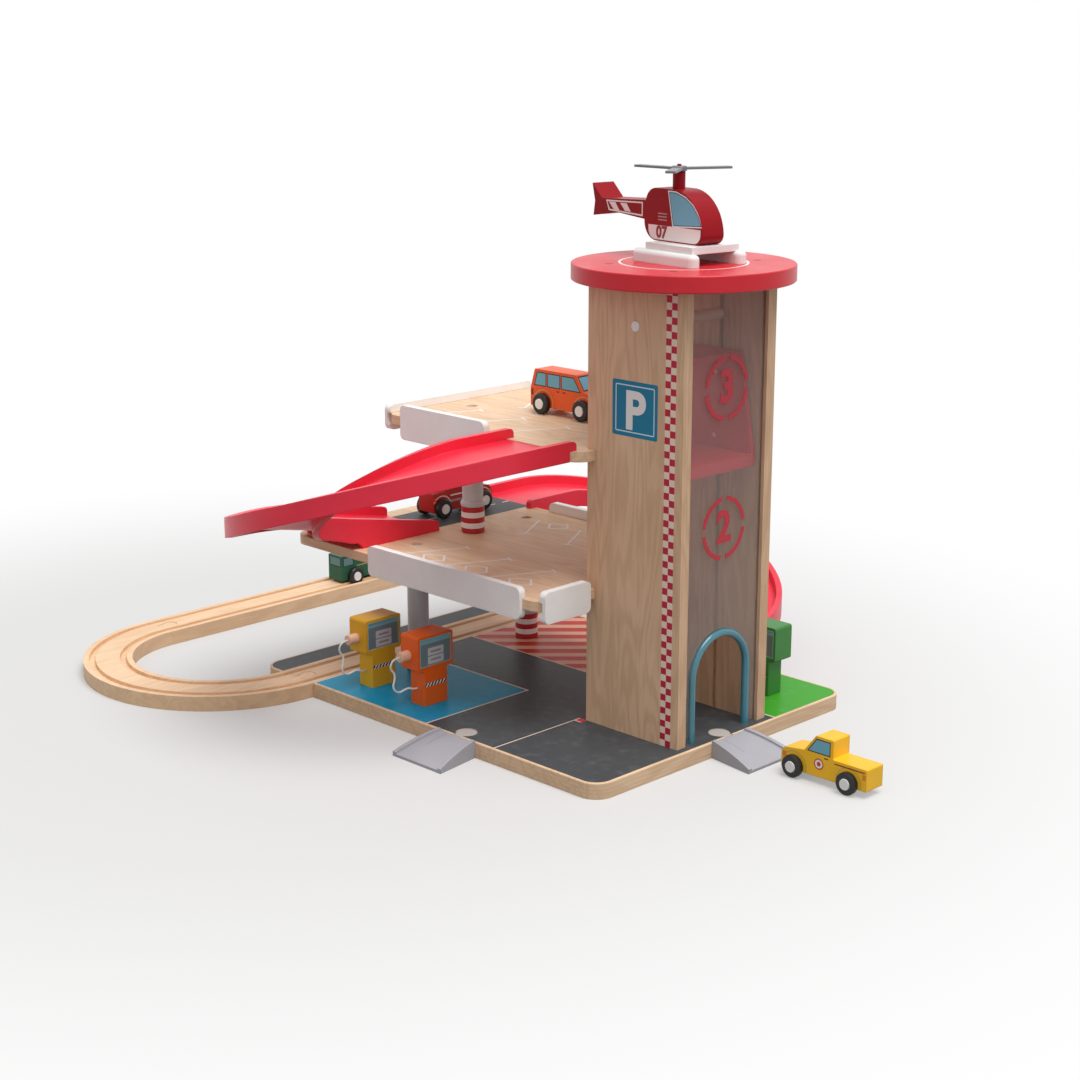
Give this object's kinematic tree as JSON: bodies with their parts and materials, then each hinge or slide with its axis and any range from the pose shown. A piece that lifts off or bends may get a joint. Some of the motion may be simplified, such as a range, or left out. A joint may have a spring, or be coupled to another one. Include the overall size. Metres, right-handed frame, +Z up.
{
  "type": "toy parking garage with lift",
  "caption": "Wooden toy parking garage: a tower with a cranked lift, parking decks on posts, moulded ramps, a track loop, fuel pumps, a helicopter and toy vehicles.",
  "frame": {"origin": "centre of the base board's underside, on the floor", "axes": "+Z up, +X to the right along the front edge, +Y to the back where the track loop lies; the tower and its doorway face -Y"},
  "size_m": [0.5292, 0.6685, 0.4221],
  "materials": {
    "board_print": "satin printed plywood",
    "birch": "clear satin birch plywood",
    "deck_print": "birch plywood with a printed road strip",
    "track_wood": "bare sanded beech",
    "smoke_clear": "clear smoky sheet",
    "blue_gloss": "glossy blue",
    "roof_red": "satin red paint",
    "ring_red": "satin paint in red and white rings",
    "grey_paint": "satin grey paint",
    "rail_white": "satin off-white paint",
    "ramp_red": "satin moulded",
    "wedge_grey": "satin moulded",
    "pump_yellow": "satin yellow paint",
    "pump_orange": "satin orange paint",
    "pump_green": "satin green paint",
    "nozzle_wood": "bare sanded wood",
    "hose_white": "limp white hose",
    "cord_white": "braided cord",
    "peg_wood": "bare dowel",
    "lift_red": "satin moulded",
    "crank_paint": "satin white paint",
    "knob_red": "satin red paint",
    "heli_red": "satin dark red paint",
    "skid_white": "satin white paint",
    "rotor_grey": "satin moulded",
    "pickup_yellow": "satin yellow paint",
    "suv_orange": "satin orange-red paint",
    "fire_red": "satin red paint",
    "engine_green": "satin dark green paint",
    "wheel_black": "satin moulded, white hub"
  },
  "bodies": {
    "garage": {"base_board": "board_print", "track_curve_left": "track_wood", "track_curve_right": "track_wood", "track_straight_far": "track_wood", "tower_panel_left": "birch", "tower_panel_right": "birch", "tower_window": "smoke_clear", "arch_trim": "blue_gloss", "roof_disc": "roof_red", "roof_dowels": "peg_wood", "deck_lower": "deck_print", "deck_upper": "deck_print", "post_foot_left": "ring_red", "post_foot_right": "ring_red", "post_foot_upper": "ring_red", "post_column_left": "grey_paint", "post_column_right": "grey_paint", "post_column_upper": "grey_paint", "rail_lower_left": "rail_white", "rail_lower_right": "rail_white", "rail_lower_front_left": "rail_white", "rail_lower_front_right": "rail_white", "rail_upper_left": "rail_white", "rail_upper_right": "rail_white", "rail_upper_back": "rail_white", "ramp_upper": "ramp_red", "ramp_lower": "ramp_red", "pump_yellow": "pump_yellow", "pump_orange": "pump_orange", "pump_green": "pump_green"},
    "entry_ramp_left": {"entry_ramp_left": "wedge_grey"},
    "entry_ramp_front": {"entry_ramp_front": "wedge_grey"},
    "lift": {"lift_car": "lift_red", "lift_guide_pegs": "peg_wood", "hoist_cord": "cord_white"},
    "crank": {"winding_roller": "peg_wood", "crank_arm": "crank_paint", "crank_knob": "knob_red", "cord_winding": "cord_white"},
    "helicopter": {"helicopter_body": "heli_red", "helicopter_skids": "skid_white", "helicopter_mast": "heli_red"},
    "rotor": {"helicopter_rotor": "rotor_grey"},
    "nozzle_yellow": {"nozzle_yellow": "nozzle_wood", "hose_yellow": "hose_white"},
    "nozzle_orange": {"nozzle_orange": "nozzle_wood", "hose_orange": "hose_white"},
    "pickup": {"pickup_body": "pickup_yellow"},
    "pickup_front_wheels": {"pickup_front_wheels": "wheel_black"},
    "pickup_rear_wheels": {"pickup_rear_wheels": "wheel_black"},
    "suv": {"suv_body": "suv_orange"},
    "suv_front_wheels": {"suv_front_wheels": "wheel_black"},
    "suv_rear_wheels": {"suv_rear_wheels": "wheel_black"},
    "fire_car": {"fire_car_body": "fire_red"},
    "fire_car_front_wheels": {"fire_car_front_wheels": "wheel_black"},
    "fire_car_rear_wheels": {"fire_car_rear_wheels": "wheel_black"},
    "rail_engine": {"rail_engine_body": "engine_green"},
    "rail_engine_front_wheels": {"rail_engine_front_wheels": "wheel_black"},
    "rail_engine_rear_wheels": {"rail_engine_rear_wheels": "wheel_black"}
  },
  "joints": [
    {"name": "entry_ramp_left_lift", "type": "slide", "parent": "garage", "child": "entry_ramp_left", "axis": [0, 0, 1], "range_m": [0, 0.03]},
    {"name": "entry_ramp_front_lift", "type": "slide", "parent": "garage", "child": "entry_ramp_front", "axis": [0, 0, 1], "range_m": [0, 0.03]},
    {"name": "lift_travel", "type": "slide", "parent": "garage", "child": "lift", "axis": [0, 0, 1], "range_m": [-0.1945, 0.004], "deforming": ["hoist_cord"]},
    {"name": "crank_turn", "type": "hinge", "parent": "garage", "child": "crank", "pos_m": [0, -0.1352, 0.314], "axis": [1, 0, 0], "range_deg": [-44, 2104]},
    {"name": "helicopter_lift_off", "type": "slide", "parent": "garage", "child": "helicopter", "axis": [0, 0, 1], "range_m": [0, 0.08]},
    {"name": "rotor_spin", "type": "hinge", "parent": "helicopter", "child": "rotor", "pos_m": [0.00537, -0.12506, 0.405], "axis": [0, 0, 1], "continuous": true},
    {"name": "nozzle_yellow_draw", "type": "slide", "parent": "garage", "child": "nozzle_yellow", "axis": [-1, 0, 0], "range_m": [0, 0.01]},
    {"name": "nozzle_orange_draw", "type": "slide", "parent": "garage", "child": "nozzle_orange", "axis": [-1, 0, 0], "range_m": [0, 0.01]},
    {"name": "pickup_roll", "type": "slide", "parent": "garage", "child": "pickup", "axis": [0, 1, 0], "range_m": [-0.15, 0.01]},
    {"name": "pickup_front_axle", "type": "hinge", "parent": "pickup", "child": "pickup_front_wheels", "pos_m": [0.0045, -0.252, 0.00855], "axis": [-1, 0, 0], "range_deg": [-1036.5, 70]},
    {"name": "pickup_rear_axle", "type": "hinge", "parent": "pickup", "child": "pickup_rear_wheels", "pos_m": [0.0045, -0.2995, 0.00855], "axis": [-1, 0, 0], "range_deg": [-1036.5, 70]},
    {"name": "suv_roll", "type": "slide", "parent": "garage", "child": "suv", "axis": [0, -1, 0], "range_m": [-0.065, 0.045]},
    {"name": "suv_front_axle", "type": "hinge", "parent": "suv", "child": "suv_front_wheels", "pos_m": [0.029, -0.019, 0.22855], "axis": [1, 0, 0], "range_deg": [-449.7, 311.6]},
    {"name": "suv_rear_axle", "type": "hinge", "parent": "suv", "child": "suv_rear_wheels", "pos_m": [0.029, 0.0245, 0.22855], "axis": [1, 0, 0], "range_deg": [-449.7, 311.6]},
    {"name": "fire_car_roll", "type": "slide", "parent": "garage", "child": "fire_car", "axis": [1, 0, 0], "range_m": [-0.015, 0.025]},
    {"name": "fire_car_front_axle", "type": "hinge", "parent": "fire_car", "child": "fire_car_front_wheels", "pos_m": [0.0595, 0.1475, 0.12455], "axis": [0, 1, 0], "range_deg": [-104.5, 173.6]},
    {"name": "fire_car_rear_axle", "type": "hinge", "parent": "fire_car", "child": "fire_car_rear_wheels", "pos_m": [0.0135, 0.1475, 0.12455], "axis": [0, 1, 0], "range_deg": [-104.5, 173.6]},
    {"name": "rail_engine_roll", "type": "slide", "parent": "garage", "child": "rail_engine", "axis": [1, 0, 0], "range_m": [-0.18, 0.02]},
    {"name": "rail_engine_front_axle", "type": "hinge", "parent": "rail_engine", "child": "rail_engine_front_wheels", "pos_m": [0.1035, 0.334, 0.01755], "axis": [0, 1, 0], "range_deg": [-1243.6, 139.1]},
    {"name": "rail_engine_rear_axle", "type": "hinge", "parent": "rail_engine", "child": "rail_engine_rear_wheels", "pos_m": [0.0705, 0.334, 0.01755], "axis": [0, 1, 0], "range_deg": [-1243.6, 139.1]}
  ],
  "couplings": [
    {"joint": "crank_turn", "follows": "lift_travel", "rad_per_m": -188.68},
    {"joint": "pickup_front_axle", "follows": "pickup_roll", "rad_per_m": 120.48},
    {"joint": "pickup_rear_axle", "follows": "pickup_roll", "rad_per_m": 120.48},
    {"joint": "suv_front_axle", "follows": "suv_roll", "rad_per_m": 120.48},
    {"joint": "suv_rear_axle", "follows": "suv_roll", "rad_per_m": 120.48},
    {"joint": "fire_car_front_axle", "follows": "fire_car_roll", "rad_per_m": 120.48},
    {"joint": "fire_car_rear_axle", "follows": "fire_car_roll", "rad_per_m": 120.48},
    {"joint": "rail_engine_front_axle", "follows": "rail_engine_roll", "rad_per_m": 120.48},
    {"joint": "rail_engine_rear_axle", "follows": "rail_engine_roll", "rad_per_m": 120.48}
  ]
}
